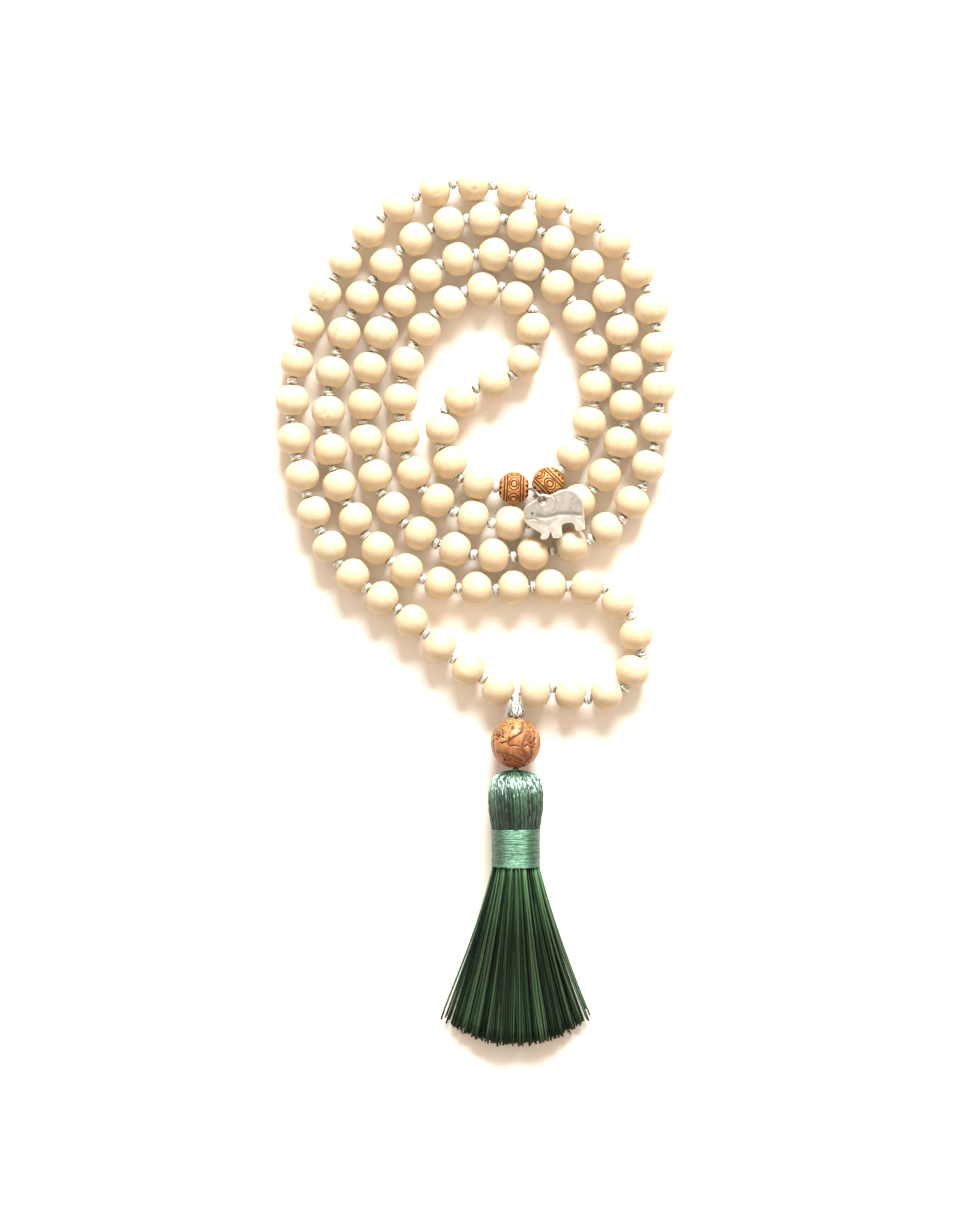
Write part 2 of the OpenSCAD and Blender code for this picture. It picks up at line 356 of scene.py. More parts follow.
def wood_material():
    """Pale turned wood. loc: mm in the bead's own frame, grain along X; tone: the bead's own shade; flaw: how
    deep in a mark."""
    s = Shader("wood")
    loc, tone, flaw = s.attribute("loc", True), s.attribute("tone"), s.attribute("flaw")
    grain = s.noise(loc, (0.16, 0.75, 0.75), 4, 0.55, 0.5)
    fibres = s.noise(loc, (0.5, 7.0, 7.0), 4, 0.6)
    shades = [(0.30, (0.61, 0.468, 0.28)), (0.5, (0.655, 0.522, 0.345)), (0.70, (0.70, 0.568, 0.405))]
    colour = s.mix(s.remap(fibres, 0.52, 0.76, 0.0, 0.14), s.ramp(grain, shades), (0.62, 0.40, 0.19))
    colour = s.mix(s.remap(tone, 0.0, 1.0, 0.0, 0.32), colour, (0.65, 0.46, 0.24))
    specks = s.noise(loc, (1.2, 4.0, 4.0), 2, 0.5)
    colour = s.mix(s.remap(specks, 0.72, 0.78, 0.0, 0.40), colour, (0.40, 0.21, 0.08))
    colour = s.mix(s.times(flaw, 0.6), colour, (0.36, 0.18, 0.06))
    return s.finish(
        Base_Color=colour,
        Roughness=s.remap(fibres, 0.3, 0.8, 0.50, 0.62),
        Normal=s.bump(fibres, 0.20, 0.00006),
        Specular_IOR_Level=0.5,
    )


def cord_material(name, base, thread):
    """Twisted cord with a metallic thread laid in. lay: (along mm, angle, id)."""
    s = Shader(name)
    lay = s.attribute("lay", True)
    along, angle, _ = s.split(lay)
    ply = s.math("COSINE", s.add(s.times(along, 3.0), s.times(angle, 3.0)))
    flecks = s.noise(lay, (4.4, 1.6, 2.0), 3, 0.6)
    shine = s.remap(s.add(s.times(ply, 0.30), flecks), 0.12, 0.62)
    return s.finish(
        Base_Color=s.mix(shine, base, thread),
        Metallic=s.times(shine, 0.6),
        Roughness=s.remap(shine, 0.0, 1.0, 0.70, 0.30),
        Normal=s.bump(ply, 0.5, 0.00008),
    )


def silk_material(
    name, dark, mid, light, rough, ior, wander, uneven, painted_shade=None, bend=None, tint=(0.78, 1.0, 0.90)
):
    """Glossy silk strands. lay: (along mm, angle, id). wander: how quickly a strand's shade changes along it;
    uneven: mm of bump; fade: (from mm, to mm, 0, amount), where painted shade darkens the strands and turns
    them olive; bend: the stretch in mm where the strands bend over, and pale streaks are painted there as a
    painted sheen. glow: 0 to 1, where a painted highlight is laid on the top of the winding."""
    s = Shader(name)
    lay = s.attribute("lay", True)
    along = s.split(lay)[0]
    own = s.remap(s.noise(lay, (0.0, 0.0, 7.31), 1), 0.34, 0.66)
    fine = s.noise(lay, (wander, 1.2, 7.31), 3, 0.6)
    colour = s.ramp(s.add(s.times(own, 0.7), s.times(fine, 0.3)), [(0.31, dark), (0.50, mid), (0.68, light)])
    # painted shade: further along, the strands are darkened and turned olive
    if painted_shade:
        colour = s.mix(s.remap(along, *painted_shade), colour, (0.46, 0.37, 0.40), "MULTIPLY")
    # painted highlight: a pale mottled patch is painted where glow is above 0
    highlight_patch = s.noise(lay, (0.9, 0.6, 9.7), 3, 0.6)
    shine = s.times(s.attribute("painted_highlight"), s.remap(highlight_patch, 0.36, 0.60, 0.15, 1.0))
    colour = s.mix(shine, colour, (0.26, 0.52, 0.36))
    # painted sheen: pale streaks are painted where the strands bend over the top of the head
    if bend:
        rise, fall = s.remap(along, *bend[:2]), s.remap(along, *bend[2:], 1.0, 0.0)
        sheen_zone = s.times(rise, fall)
        sheen_streak = s.noise(lay, (0.55, 0.0, 13.1), 2, 0.5)
        sheen_streak = s.remap(s.add(sheen_streak, s.times(sheen_zone, 0.13)), 0.60, 0.675)
        colour = s.mix(s.times(sheen_streak, sheen_zone), colour, (0.42, 0.60, 0.50))
    polish = s.noise(lay, (0.05, 0.0, 11.7), 1)
    return s.finish(
        Base_Color=colour,
        Roughness=s.remap(polish, 0.38, 0.62, rough - 0.08, rough + 0.22),
        Normal=s.bump(fine, 1.0, uneven * MM),
        IOR=ior,
        Metallic=0.08,
        Sheen_Weight=0.04,
        Sheen_Roughness=0.35,
        Sheen_Tint=(0.55, 0.85, 0.70),
        Specular_Tint=tint,
    )


def carved_material():
    """Orange-brown carved wood with dark stain in the cuts. cut: 0 on the surface to 1 in a groove."""
    s = Shader("carved_wood")
    loc, cut = s.attribute("loc", True), s.attribute("cut")
    grain = s.noise(loc, (0.4, 1.8, 1.8), 5, 0.6, 0.3)
    shades = [(0.3, (0.38, 0.13, 0.026)), (0.5, (0.64, 0.30, 0.075)), (0.7, (0.84, 0.52, 0.19))]
    colour = s.ramp(grain, shades)
    colour = s.mix(s.remap(s.noise(loc, 0.22, 2), 0.40, 0.62, 0.0, 0.55), colour, (0.42, 0.105, 0.022))
    blot = s.remap(s.noise(loc, 1.6, 3), 0.50, 0.80, -0.02, 0.34)
    stain = s.add(s.remap(cut, 0.15, 0.62), blot, clamp=True)
    colour = s.mix(s.remap(cut, 0.0, 0.25, 0.0, 0.45), colour, (0.30, 0.060, 0.010))
    return s.finish(
        Base_Color=s.mix(stain, colour, (0.050, 0.010, 0.003)),
        Roughness=s.remap(stain, 0.0, 1.0, 0.34, 0.70),
        Normal=s.bump(s.noise(loc, 6.0, 3), 0.15, 0.00006),
        Coat_Weight=0.12,
        Coat_Roughness=0.25,
        Specular_IOR_Level=0.3,
    )


def guru_material():
    """Pitted seed: tan on top of red-brown, dark in the pits; painted shade darkens it towards the tassel.
    cut: depth of the pit or crack, 0 to 1; halo: the reddish skin round a crack."""
    s = Shader("guru_seed")
    loc, cut, halo = s.attribute("loc", True), s.attribute("cut"), s.attribute("halo")
    broad = s.noise(loc, (0.36, 0.198, 0.36), 4, 0.6, 1.4)
    fine = s.noise(loc, 1.1, 5, 0.6, 0.6)
    shades = [(0.36, (0.25, 0.088, 0.022)), (0.5, (0.40, 0.195, 0.060)), (0.64, (0.47, 0.31, 0.12))]
    colour = s.mix(s.remap(fine, 0.48, 0.66, 0.0, 0.40), s.ramp(broad, shades), (0.28, 0.085, 0.020))
    # painted shade: darker towards -Y, the side away from the lamp, with a ragged edge
    low = s.add(s.split(loc)[1], s.remap(broad, 0.3, 0.7, -2.0, 2.0))
    colour = s.mix(s.remap(low, 2.5, -4.5, 0.0, 0.85), colour, (0.38, 0.085, 0.024))
    red = s.add(halo, s.remap(fine, 0.3, 0.7, -0.25, 0.25))
    colour = s.mix(s.remap(red, 0.2, 1.0, 0.0, 0.62), colour, (0.22, 0.064, 0.016))
    stain = s.add(cut, s.remap(fine, 0.3, 0.8, -0.08, 0.10))
    colour = s.mix(s.remap(stain, 0.14, 0.85, 0.0, 0.95), colour, (0.070, 0.018, 0.006))
    return s.finish(
        Base_Color=colour,
        Roughness=s.remap(cut, 0.0, 1.0, 0.44, 0.80),
        Normal=s.bump(fine, 0.3, 0.0001),
        Coat_Weight=0.06,
        Coat_Roughness=0.25,
    )


def silver_material():
    """Satin cast metal, darker in the engraved lines (cut) and polished where pale is 1."""
    s = Shader("silver")
    loc, cut, pale = s.attribute("loc", True), s.attribute("cut"), s.attribute("pale")
    scratch = s.noise(loc, (0.7, 8.0, 1.0), 4, 0.6)
    blotch = s.noise(loc, 0.6, 4, 0.6)
    colour = s.ramp(blotch, [(0.3, (0.44, 0.41, 0.36)), (0.6, (0.60, 0.56, 0.495))])
    colour = s.mix(pale, colour, (0.95, 0.91, 0.83))
    return s.finish(
        Base_Color=s.mix(s.remap(cut, 0.1, 0.9, 0.0, 0.92), colour, (0.08, 0.07, 0.06)),
        Metallic=s.remap(cut, 0.3, 1.0, 0.85, 0.15),
        Roughness=s.remap(s.add(blotch, scratch), 0.6, 1.4, 0.30, 0.46),
        Normal=s.bump(scratch, 0.12, 0.00004),
    )


WOOD = wood_material()
CORD = cord_material("cord", (0.09, 0.085, 0.078), (0.44, 0.43, 0.40))
KNOT = cord_material("silver_thread", (0.27, 0.255, 0.22), (0.80, 0.79, 0.73))
GATHER_THREAD = cord_material("gather_thread", (0.085, 0.078, 0.062), (0.60, 0.59, 0.54))
HEAD_SILK = silk_material(
    "green_silk_head", (0.009, 0.020, 0.009), (0.024, 0.068, 0.037), (0.085, 0.175, 0.11),
    rough=0.22, ior=1.75, wander=0.30, uneven=0.10, painted_shade=(8.5, 14.5, 0.0, 0.95), bend=(3.2, 4.4, 6.5, 10.5),
)
BIND_SILK = silk_material(
    "green_silk_binding", (0.010, 0.034, 0.020), (0.020, 0.058, 0.036), (0.040, 0.100, 0.064),
    rough=0.24, ior=2.2, wander=0.80, uneven=0.14, tint=(0.60, 1.0, 0.75),
)
SKIRT_SILK = silk_material(
    "green_silk_skirt", (0.004, 0.010, 0.003), (0.044, 0.105, 0.046), (0.125, 0.270, 0.125),
    rough=0.28, ior=1.26, wander=0.22, uneven=0.03, painted_shade=(1.0, 17.0, 0.0, 1.0),
)
CARVED = carved_material()
SEED = guru_material()
SILVER = silver_material()

# ---------------- wooden beads
WOOD_HALF, WOOD_R, WOOD_BORE = 3.4, 3.9, 0.7


def bead_profile(half, across, bore, steps=30):
    """The closed outline of a rounded, drilled bead as (along, out) pairs: skin, hollow, bore and back."""
    reach, power = half + 0.22, 2.1
    edge = math.acos((half / reach) ** (power / 2))
    t = np.linspace(edge, math.pi - edge, steps)
    along = reach * np.sign(np.cos(t)) * np.abs(np.cos(t)) ** (2 / power)
    skin = np.stack([along, across * np.sin(t) ** (2 / power)], -1)
    lip = skin[0, 1]
    hollow = [(half - 0.02, lip - 0.09), (half - 0.10, lip - 0.19), (half - 0.35, lip - 0.30)]
    side = [*hollow, (half - 0.74, bore + 0.06), (half - 0.82, bore)]
    return [*map(tuple, skin), *[(-x, r) for x, r in side], (0.0, bore), *reversed(side)]


PROFILE = np.array(bead_profile(WOOD_HALF, WOOD_R, WOOD_BORE))


def rough_marks(seed, count):
    """Marks scattered over a bead's top."""
    rng = np.random.default_rng(seed)
    marks = []
    for _ in range(count):
        angle = math.pi / 2 + rng.normal(0, 0.55)
        along, wide = rng.uniform(-1.6, 1.6), rng.uniform(0.10, 0.2)
        marks.append((angle, along, wide, rng.uniform(0.25, 0.7), rng.uniform(0.08, 0.16)))
    return marks


# Beads with marks of their own: (angle round the bead, mm along it, width, length, depth)
MARKS = {
    "wood_bead_left_18": [
        (1.50, 0.0, 0.07, 1.7, 0.20), (1.85, 0.3, 0.06, 1.1, 0.10), (1.2, -0.9, 0.08, 0.7, 0.10),
    ],
    "wood_bead_left_19": [(1.95, 0.3, 0.30, 0.55, 0.30), (1.5, -0.6, 0.12, 0.5, 0.12)],
    "wood_bead_left_14": rough_marks(1, 10),
    "wood_bead_right_35": rough_marks(2, 8),
    "wood_bead_right_37": rough_marks(3, 9),
}


def wood_bead(name, centre, axis, seed, body, node):
    """A turned bead, a little out of round, with up to one chip of its own and the marks listed for it."""
    rng = np.random.default_rng(seed)
    seg = 44
    x, r = PROFILE[:, 0], PROFILE[:, 1]
    th = np.arange(seg) / seg * TAU
    size = rng.uniform(0.965, 1.0)
    length = rng.uniform(0.97, 1.0)
    lobe = 1 + 0.010 * np.cos(2 * th + rng.uniform(0, TAU))
    lobe = lobe + 0.006 * np.cos(3 * th + rng.uniform(0, TAU)) - 0.012
    skin = smooth((r - 1.0) / 1.5)[:, None]
    lean = 1 + rng.uniform(-0.015, 0.015) * (x / WOOD_HALF)
    rad = r[:, None] * (1 + skin * (size * lean[:, None] * lobe[None] - 1))
    flaw = np.zeros_like(rad)
    marks = []
    for _ in range(rng.integers(0, 2)):
        angle, along, wide = rng.uniform(0, TAU), rng.uniform(-2.2, 2.2), rng.uniform(0.08, 0.18)
        marks.append((angle, along, wide, rng.uniform(0.3, 1.0), rng.uniform(0.04, 0.10)))
    for angle, along, wide, long, deep in marks + MARKS.get(name, []):
        round_ = (th[None] - angle + math.pi) % TAU - math.pi
        d = np.hypot(round_ * WOOD_R / (wide * 2.2), (x[:, None] - along) / long)
        dent = np.exp(-d * d) * skin
        rad -= deep * dent
        flaw += dent * rng.uniform(0.3, 0.9)
    local = round_x((x * length)[:, None], rad, th).reshape(-1, 3)
    tilt = rng.normal(0, 0.12, 2)
    grain = local + np.outer(local[:, 0], [0, tilt[0], tilt[1]]) + rng.uniform(-60, 60, 3)
    tone = np.full(len(local), rng.uniform(0, 1))
    make_mesh(
        name, placed(local, centre, axis), grid_faces(len(PROFILE), seg, close_rows=True), WOOD, body,
        {"loc": grain, "tone": tone, "flaw": np.clip(flaw.reshape(-1), 0, 1)}, node,
    )


def bead_place(knots, i, z):
    """The middle of the bead between knots i and i + 1, and the way its string runs."""
    return np.array([*(knots[i] + knots[i + 1]) / 2, z]), knots[i + 1] - knots[i]


for i in range(STRAND - 1):
    node = "wood_beads_left_outer" if i < OUTER else "wood_beads_left_inner"
    wood_bead(f"wood_bead_left_{i + 1:02d}", *bead_place(LEFT, i, BEAD_Z), 100 + i, "string", node)
for i in range(1, STRAND):
    single = i <= SINGLES
    body = f"wood_bead_{i:02d}" if single else "string"
    node = body if single else "wood_beads_right_end"
    wood_bead(f"wood_bead_right_{i:02d}", *bead_place(RIGHT, i, BEAD_Z), 300 + i, body, node)

# ---------------- string and knots


def string_line(knots, carved_knot):
    """The cord's line through all its knots, straight in each bead. It is lower at carved_knot."""
    spots = [np.array([*k, CARVED_Z if i == carved_knot else BEAD_Z]) for i, k in enumerate(knots)]
    line = [spots[0]]
    for a, b in zip(spots[:-1], spots[1:], strict=True):
        way = unit(b - a)
        line += [a + way * 0.5, a + way * 2.2, b - way * 2.2, b - way * 0.5]
    return np.array([*line, spots[-1]])


add_cord("stringing_cord_left", string_line(LEFT, STRAND), STRING_R, CORD, "string")
add_cord("stringing_cord_right", string_line(RIGHT, 0), STRING_R, CORD, "string")


def knot_line(rng):
    """The cord's line through one small barrel knot, along X: about two turns, 2.7 mm across."""
    t = np.linspace(0, 1, 44)
    turns = rng.choice([1.9, 2.15, 2.4])
    out = smooth(t / 0.13) * smooth((1 - t) / 0.13)
    wrap = smooth((t - 0.03) / 0.94)
    ang = TAU * turns * wrap + rng.uniform(0, TAU)
    x = np.where(out > 0.5, (wrap - 0.5) * 0.95, (t - 0.5) * 2.1)
    x = np.convolve(np.pad(x, 3, "edge"), np.ones(7) / 7, "valid")
    x = x + 0.20 * np.cos(ang - 0.8) * out  # each turn leans across the cord
    rad = (0.80 + 0.05 * np.sin(3 * ang + rng.uniform(0, TAU))) * out
    return round_x(x, rad, ang)


def crossing_line(rng):
    """The short strand that ties over the knot's turns."""
    t = np.linspace(0, 1, 14)
    ang = rng.uniform(0, TAU) + 1.7 * (t - 0.5)
    rad = 0.50 + 0.52 * np.sin(math.pi * t)
    return round_x((t - 0.5) * 1.7, rad, ang)


def spacer_knots(name, knots, seed):
    """The small knots of one strand, each between two beads."""
    rng = np.random.default_rng(seed)
    turns, crossings = [], []
    for i in range(1, STRAND):
        centre, way = [*knots[i], BEAD_Z], knots[i + 1] - knots[i - 1]
        size = rng.uniform(0.93, 1.04)
        turns.append(placed(size * knot_line(rng), centre, way))
        crossings.append(placed(size * crossing_line(rng), centre, way))
    ids = np.arange(STRAND - 1) * 3.7
    parts = [
        strands(turns, 0.50, 12, ids, twist=3.0, depth=0.07),
        strands(crossings, 0.34, 10, ids + 1.9, twist=3.0, depth=0.07),
    ]
    add_strands(name, parts, KNOT, "string")


spacer_knots("spacer_knots_left", LEFT, 11)
spacer_knots("spacer_knots_right", RIGHT, 12)


def rim_point(angle):
    """A point round the charm's rim, in the upright plane through the hole: 0 is outwards, 90 is up."""
    a = math.radians(angle)
    return RIM + np.array([math.cos(a) * math.cos(CHARM_DIR), math.cos(a) * math.sin(CHARM_DIR), math.sin(a)])


charm_line = [
    [*RIGHT[0], CARVED_Z], [12.7, 26.0, 4.3], [13.2, 25.5, 6.2], rim_point(188), rim_point(150),
    *[rim_point(angle) for angle in range(120, -91, -30)],
    [13.75, 24.45, 7.0], [13.35, 24.55, 5.6], [13.1, 24.5, 4.3], [*LEFT[STRAND], CARVED_Z],
]
add_cord("charm_cord", curve_through(charm_line, 6), 0.38, CORD, "string")

# ---------------- gathering knot, the guru bead's cord and the tie


def gathering_knot():
    """A teardrop of flat silvery strands that widens from the two string ends to the top of the guru bead."""
    rng = np.random.default_rng(31)
    t = np.linspace(0, 1, 22)
    down = np.interp(t, [0, 1], [1.75, -1.60])
    wide = np.interp(t, [0, 0.2, 0.45, 0.7, 0.86, 0.95, 1.0], [0.35, 0.72, 1.16, 1.56, 1.74, 1.64, 1.20])
    thick = np.interp(t, [0, 0.3, 0.8, 1], [0.34, 0.42, 0.50, 0.34])
    count, lines = 9, []
    for k in range(count):
        a0 = k / count * TAU + rng.uniform(-0.12, 0.12)
        # every third strand crosses over the others
        over = k % 3 == 0
        ang = a0 + (0.9 + rng.uniform(-0.25, 0.25)) * (t - 0.5) * (-1.6 if over else 1)
        r = wide * (1 + 0.10 * over)
        lines.append(GATHER + np.stack([r * np.cos(ang), down, 0.95 * r * np.sin(ang)], -1))
    core = GATHER + np.outer(down * 0.97, [0, 1, 0])
    parts = [
        strands(lines, thick, 12, np.arange(count) * 2.3, twist=3.0, depth=0.08),
        strands(core, np.maximum(wide * 0.76, 0.2), 20),
    ]
    add_strands("gathering_knot", parts, GATHER_THREAD, "gathering_knot")


def string_end(side, points):
    """An end of the string, which runs into the gathering knot."""
    verts, faces, lay = strands(curve_through(points, 7), 0.55, 12, twist=3.0, depth=0.07)
    end = make_mesh(f"string_end_{side}", verts, faces, KNOT, "string", {"lay": lay}, None)
    end.parent = None  # the end is left with no parent
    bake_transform(end)


def tie_line():
    """The close winding of the tie, along the pendant."""
    length, radius, turns = 0.75, 0.46, 2.2
    u = unit([0, -1, 0.05])
    a = unit(np.cross(u, [0, 0, 1.0]))
    b = np.cross(u, a)
    t = np.linspace(0, 1, 60)
    ang = TAU * turns * t
    rad = radius * (smooth(t / 0.05) * smooth((1 - t) / 0.05) * 0.5 + 0.5)
    line = TIE + np.outer((t - 0.5) * length, u)
    return line + (rad * np.cos(ang))[:, None] * a + (rad * np.sin(ang))[:, None] * b


gathering_knot()
# The string's two ends cross on their way down into the gathering knot.
left_end = [[8.4, -20.75, 4.3], [8.75, -21.05, 4.9], [9.1, -21.45, 5.2], [9.15, -22.0, 5.0]]
right_end = [[9.3, -20.35, 4.2], [9.2, -20.85, 4.5], [8.7, -21.3, 4.9], [8.5, -21.9, 4.9]]
string_end("left", [[*LEFT[0], BEAD_Z], *left_end])
string_end("right", [[*RIGHT[STRAND], BEAD_Z], *right_end])
guru_cord_line = [[PEND_X, y, GURU[2]] for y in np.linspace(-23.9, -35.3, 12)]
add_cord("guru_cord", guru_cord_line, STRING_R, CORD, "guru_cord")
add_cord("tassel_tie", tie_line(), 0.33, HEAD_SILK, "tassel_tie")

# ---------------- guru bead


def value_noise(points, scale, seed, octaves=3):
    """Smooth noise from a seeded lattice, about -1 to 1."""
    total, weight = np.zeros(len(points)), 0.0
    for octave in range(octaves):
        table = np.random.default_rng(seed + octave).uniform(-1, 1, (32, 32, 32))
        q = points * scale * 2**octave + 100
        cell = np.floor(q).astype(int)
        t = smooth(q - cell)
        value = 0
        for corner in np.ndindex(2, 2, 2):
            near = np.where(corner, t, 1 - t)
            x, y, z = (cell + corner).T % 32
            value = value + near[:, 0] * near[:, 1] * near[:, 2] * table[x, y, z]
        total += value * 0.5**octave
        weight += 0.5**octave
    return total / weight


# Cracks of the seed: points on a unit ball in the row frame (Y is towards the string), width, depth
CRACKS = [
    ([(0.30, 0.88, 0.35), (0.29, 0.70, 0.65), (0.27, 0.52, 0.81)], 0.060, 0.60),
    ([(0.28, 0.50, 0.82), (0.08, 0.36, 0.93), (-0.12, 0.25, 0.96), (-0.28, 0.12, 0.95), (-0.60, 0.02, 0.80)],
     0.034, 0.75),
    ([(-0.27, 0.22, 0.94), (-0.31, 0.08, 0.95), (-0.33, -0.02, 0.94)], 0.046, 0.85),
    ([(0.42, 0.30, 0.86), (0.30, 0.02, 0.95), (0.28, -0.30, 0.91), (0.45, -0.66, 0.60)], 0.055, 0.50),
    ([(-0.72, -0.34, 0.60), (-0.45, -0.40, 0.80), (-0.10, -0.52, 0.85), (0.2, -0.70, 0.68)], 0.060, 0.42),
    ([(0.55, 0.66, 0.51), (0.64, 0.40, 0.66), (0.62, 0.20, 0.76)], 0.040, 0.65),
    ([(0.62, -0.26, 0.74), (0.60, -0.50, 0.62), (0.40, -0.74, 0.54)], 0.050, 0.60),
]


def seed_pits(d, rng):
    """How deep in a pit each of the directions d is, 0 to 1. The pits lie in clusters."""
    pits = np.zeros(len(d))
    clusters = [unit(rng.normal(size=3)) for _ in range(14)]
    clusters += [unit(q) for q in ((-0.34, 0.74, 0.58), (0.66, -0.02, 0.75), (-0.72, 0.30, 0.62))] * 3
    for k in range(170):
        c = unit(clusters[k % len(clusters)] + rng.normal(0, 0.15, 3))
        wide = rng.uniform(0.024, 0.050)
        long = wide * rng.uniform(1.2, 3.0)
        u = unit(np.cross(c, rng.normal(size=3)))
        v = np.cross(c, u)
        near = d @ c > 0.9
        a, b = d[near] @ u / long, d[near] @ v / wide
        pits[near] = np.maximum(pits[near], np.exp(-((a * a + b * b) ** 1.5)) * rng.uniform(0.45, 1.0))
    return pits


def seed_cracks(d, rng):
    """How deep in a crack each of the directions d is, and how near one: CRACKS, and 20 that wander."""
    paths = [(curve_through([unit(q) for q in points], 9), wide, deep) for points, wide, deep in CRACKS]
    for _ in range(20):
        p, way = unit(rng.normal(size=3)), rng.normal(size=3)
        bend, path = rng.normal(0, 0.9), []
        for _ in range(rng.integers(8, 22)):
            path.append(p)
            way = unit(way - (way @ p) * p + 0.07 * bend * np.cross(p, way))
            p = unit(p + 0.06 * way)
        paths.append((path, rng.uniform(0.030, 0.060), rng.uniform(0.2, 0.5)))
    cracks, halo = np.zeros(len(d)), np.zeros(len(d))
    for path, wide, deep in paths:
        for a, b in zip(path[:-1], path[1:], strict=True):
            near = np.flatnonzero(d @ unit(a + b) > 0.975)
            dist = dist_to(d[near], [a, b])
            cracks[near] = np.maximum(cracks[near], deep * np.exp(-((dist / wide) ** 2)))
            halo[near] = np.maximum(halo[near], np.exp(-((dist / wide / 2.2) ** 2)))
    return cracks, halo


def dist_to(points, line, closed=False):
    """How far each point is from a line of points, or from a closed one."""
    line = np.asarray(line, float)
    ends = np.roll(line, -1, 0) if closed else line[1:]
    starts = line if closed else line[:-1]
    best = np.full(len(points), 1e9)
    for a, b in zip(starts, ends, strict=True):
        ab = b - a
        s = np.clip((points - a) @ ab / max(ab @ ab, 1e-12), 0, 1)
        best = np.minimum(best, np.linalg.norm(points - a - s[:, None] * ab, axis=1))
    return best


def guru_bead():
    """A drilled seed with pits and cracks. Its bore runs along Y, down the pendant."""
    rng = np.random.default_rng(5)
    rows, seg, bore_rows = 200, 320, 9
    bore, radius, widest = 0.72, 5.60, 5.62
    start = math.asin((bore + 0.25) / radius)
    th = np.arange(seg) / seg * TAU
    p, t = np.meshgrid(np.linspace(start, math.pi - start, rows), th, indexing="ij")
    d = np.stack([np.sin(p) * np.cos(t), -np.cos(p), np.sin(p) * np.sin(t)], -1).reshape(-1, 3)
    pits = seed_pits(d, rng)
    cracks, halo = seed_cracks(d, rng)
    cut = np.clip(np.maximum(pits, cracks), 0, 1)
    lump = value_noise(d, 1.5, 80, 3) * 0.05
    fine = value_noise(d, 9.0, 90, 2) * 0.025
    rad = np.minimum(radius - 0.05 + lump + fine, widest) - 0.42 * cut
    mouth = np.exp(-(((np.sqrt(d[:, 0] ** 2 + d[:, 2] ** 2) * radius - 0.9) / 0.35) ** 2)) * 0.12
    end = math.cos(start) * radius * 0.97
    bore_y = np.linspace(end, -end, bore_rows)
    hole = [np.stack([bore * np.cos(th), np.full(seg, y), bore * np.sin(th)], -1) for y in bore_y]
    verts = np.concatenate([d * (rad - mouth)[:, None], *hole])
    cut = np.concatenate([cut, np.full(bore_rows * seg, 0.7)])
    halo = np.concatenate([halo, np.zeros(bore_rows * seg)])
    make_mesh(
        "guru_bead", verts + GURU, grid_faces(rows + bore_rows, seg, close_rows=True), SEED, "guru_bead",
        {"loc": verts, "cut": cut, "halo": halo}, "guru_bead",
    )


guru_bead()

# ---------------- carved beads


def carved_pattern(x, t, radius):
    """Depth of the carving, 0 to 1, x mm along from the bead's middle and at angle t round it: pairs of ring
    grooves, notches from both ends, and round the middle a band of bosses in pointed ovals."""
    motifs, notches = 6, 11

    def line(dist, wide):
        return np.exp(-((dist / wide) ** 2))

    cuts = [line(np.abs(np.abs(x) - at), 0.165) for at in (1.48, 2.10)]
    notch = np.abs((t / TAU * notches + 0.25 * np.sign(x)) % 1.0 - 0.5) * 2
    cuts.append(smooth((np.abs(x) - 2.50 - 0.55 * notch) / 0.16) * (1 - smooth((np.abs(x) - 3.10) / 0.12)))
    phase = (t / TAU * motifs) % 1.0
    cell = TAU * radius / motifs
    dx = (phase - 0.5) * cell
    boss = np.hypot(dx / 1.12, x)
    oval = np.sqrt((dx / 1.66) ** 2 + (x / 1.10) ** 2) + 0.12 * np.abs(dx / 1.66) ** 3
    cuts += [line(boss - 0.68, 0.14), line(oval - 1.0, 0.095)]
    near = np.minimum(phase, 1 - phase) * cell
    for up in (-1, 1):  # dots above and below each gap between ovals
        cuts.append(np.clip(1.3 - np.hypot(near, x + up * 0.95) / 0.20, 0, 1))
    return np.maximum.reduce(cuts)


def carved_bead(name, centre, axis, turn):
    """A carved bead turned about its string by turn, with a stain and wear of its own."""
    seg, rows = 288, 120
    radius, half, bore = 3.62, 3.32, 0.7
    corner = math.acos(half / radius) * 1.04
    th = np.arange(seg) / seg * TAU
    p, t = np.meshgrid(np.linspace(corner, math.pi - corner, rows), th, indexing="ij")
    x, r = radius * np.cos(p), radius * np.sin(p)
    rng = np.random.default_rng(int(abs(centre[0]) * 10))
    wear = rng.uniform(0.82, 1.0)
    loc = round_x(x, r, t).reshape(-1, 3)
    cut = carved_pattern(x, t, radius).reshape(-1) * (wear + 0.15 * value_noise(loc, 0.8, 33, 2))
    cut = cut.clip(0, 1)
    thin = 1.004 - 0.060 * cut - 0.006 * (1 + value_noise(loc, 0.5, 21, 2))
    loc = loc * np.stack([np.ones_like(cut), thin, thin], -1)
    # the flat ends, hollowed round the bore, as (along, out)
    face = math.sqrt(radius**2 - half**2)
    side = [(half - 0.02, face - 0.12), (half - 0.10, face - 0.26)]
    side += [(half - 0.24, 1.10), (half - 0.6, 0.82), (half - 0.75, bore)]
    ends = [*[(-a, b) for a, b in side], (0.0, bore), *reversed(side)]
    loc = np.concatenate([loc, *[round_x(a, b, th) for a, b in ends]])
    cut = np.concatenate([cut, np.repeat([0.35] * 2 + [0.8] * (len(ends) - 4) + [0.35] * 2, seg)])
    make_mesh(
        name, placed(loc, centre, axis, turn), grid_faces(rows + len(ends), seg, close_rows=True),
        CARVED, name, {"loc": loc + rng.uniform(-20, 20, 3), "cut": cut}, name,
    )


carved_bead("carved_bead_left", *bead_place(RIGHT, 0, CARVED_Z), 0.25)
carved_bead("carved_bead_right", *bead_place(LEFT, STRAND - 1, CARVED_Z), 0.9)

